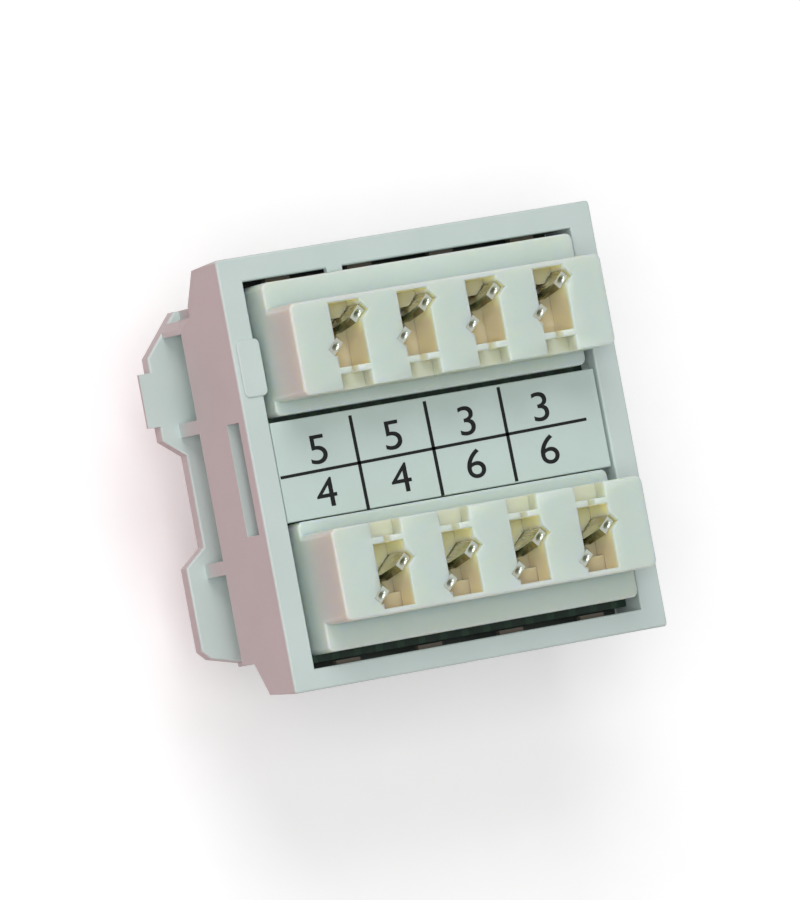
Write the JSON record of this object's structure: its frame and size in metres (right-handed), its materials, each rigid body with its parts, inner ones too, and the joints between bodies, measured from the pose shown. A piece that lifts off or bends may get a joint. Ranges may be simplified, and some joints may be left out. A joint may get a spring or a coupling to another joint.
{
  "type": "telephone jack module",
  "caption": "Snap-in telephone jack: square white frame with mounting ears, rows of forked punch-down wire slots beside a numbered label plate, and a plug mouth at the front.",
  "frame": {"origin": "middle of the module in the plane of the plug mouth, on which it rests", "axes": "+X along the rows of wire slots, towards the right of the label as it is read, +Y from the lower row to the upper row, +Z out of the wiring side"},
  "size_m": [0.0254, 0.022, 0.0172],
  "materials": {
    "housing": "white moulded plastic with a fine satin face",
    "board": "dark green solder mask",
    "label": "white plate with black print",
    "carrier": "plain off-white moulding",
    "block": "ivory moulded plastic, slightly translucent",
    "contact": "tinned bronze strip",
    "spring_wire": "gold-coloured plated wire",
    "solder": "bright solder"
  },
  "bodies": {
    "root": {"housing": "housing", "circuit_board": "board", "label_plate": "label", "contact_carrier": "carrier", "upper_idc_block": "block", "lower_idc_block": "block", "upper_contact_1": "contact", "upper_contact_2": "contact", "upper_contact_3": "contact", "upper_contact_4": "contact", "lower_contact_1": "contact", "lower_contact_2": "contact", "lower_contact_3": "contact", "lower_contact_4": "contact", "spring_wire_1": "spring_wire", "spring_wire_2": "spring_wire", "spring_wire_3": "spring_wire", "spring_wire_4": "spring_wire", "solder_joints": "solder"}
  },
  "joints": []
}
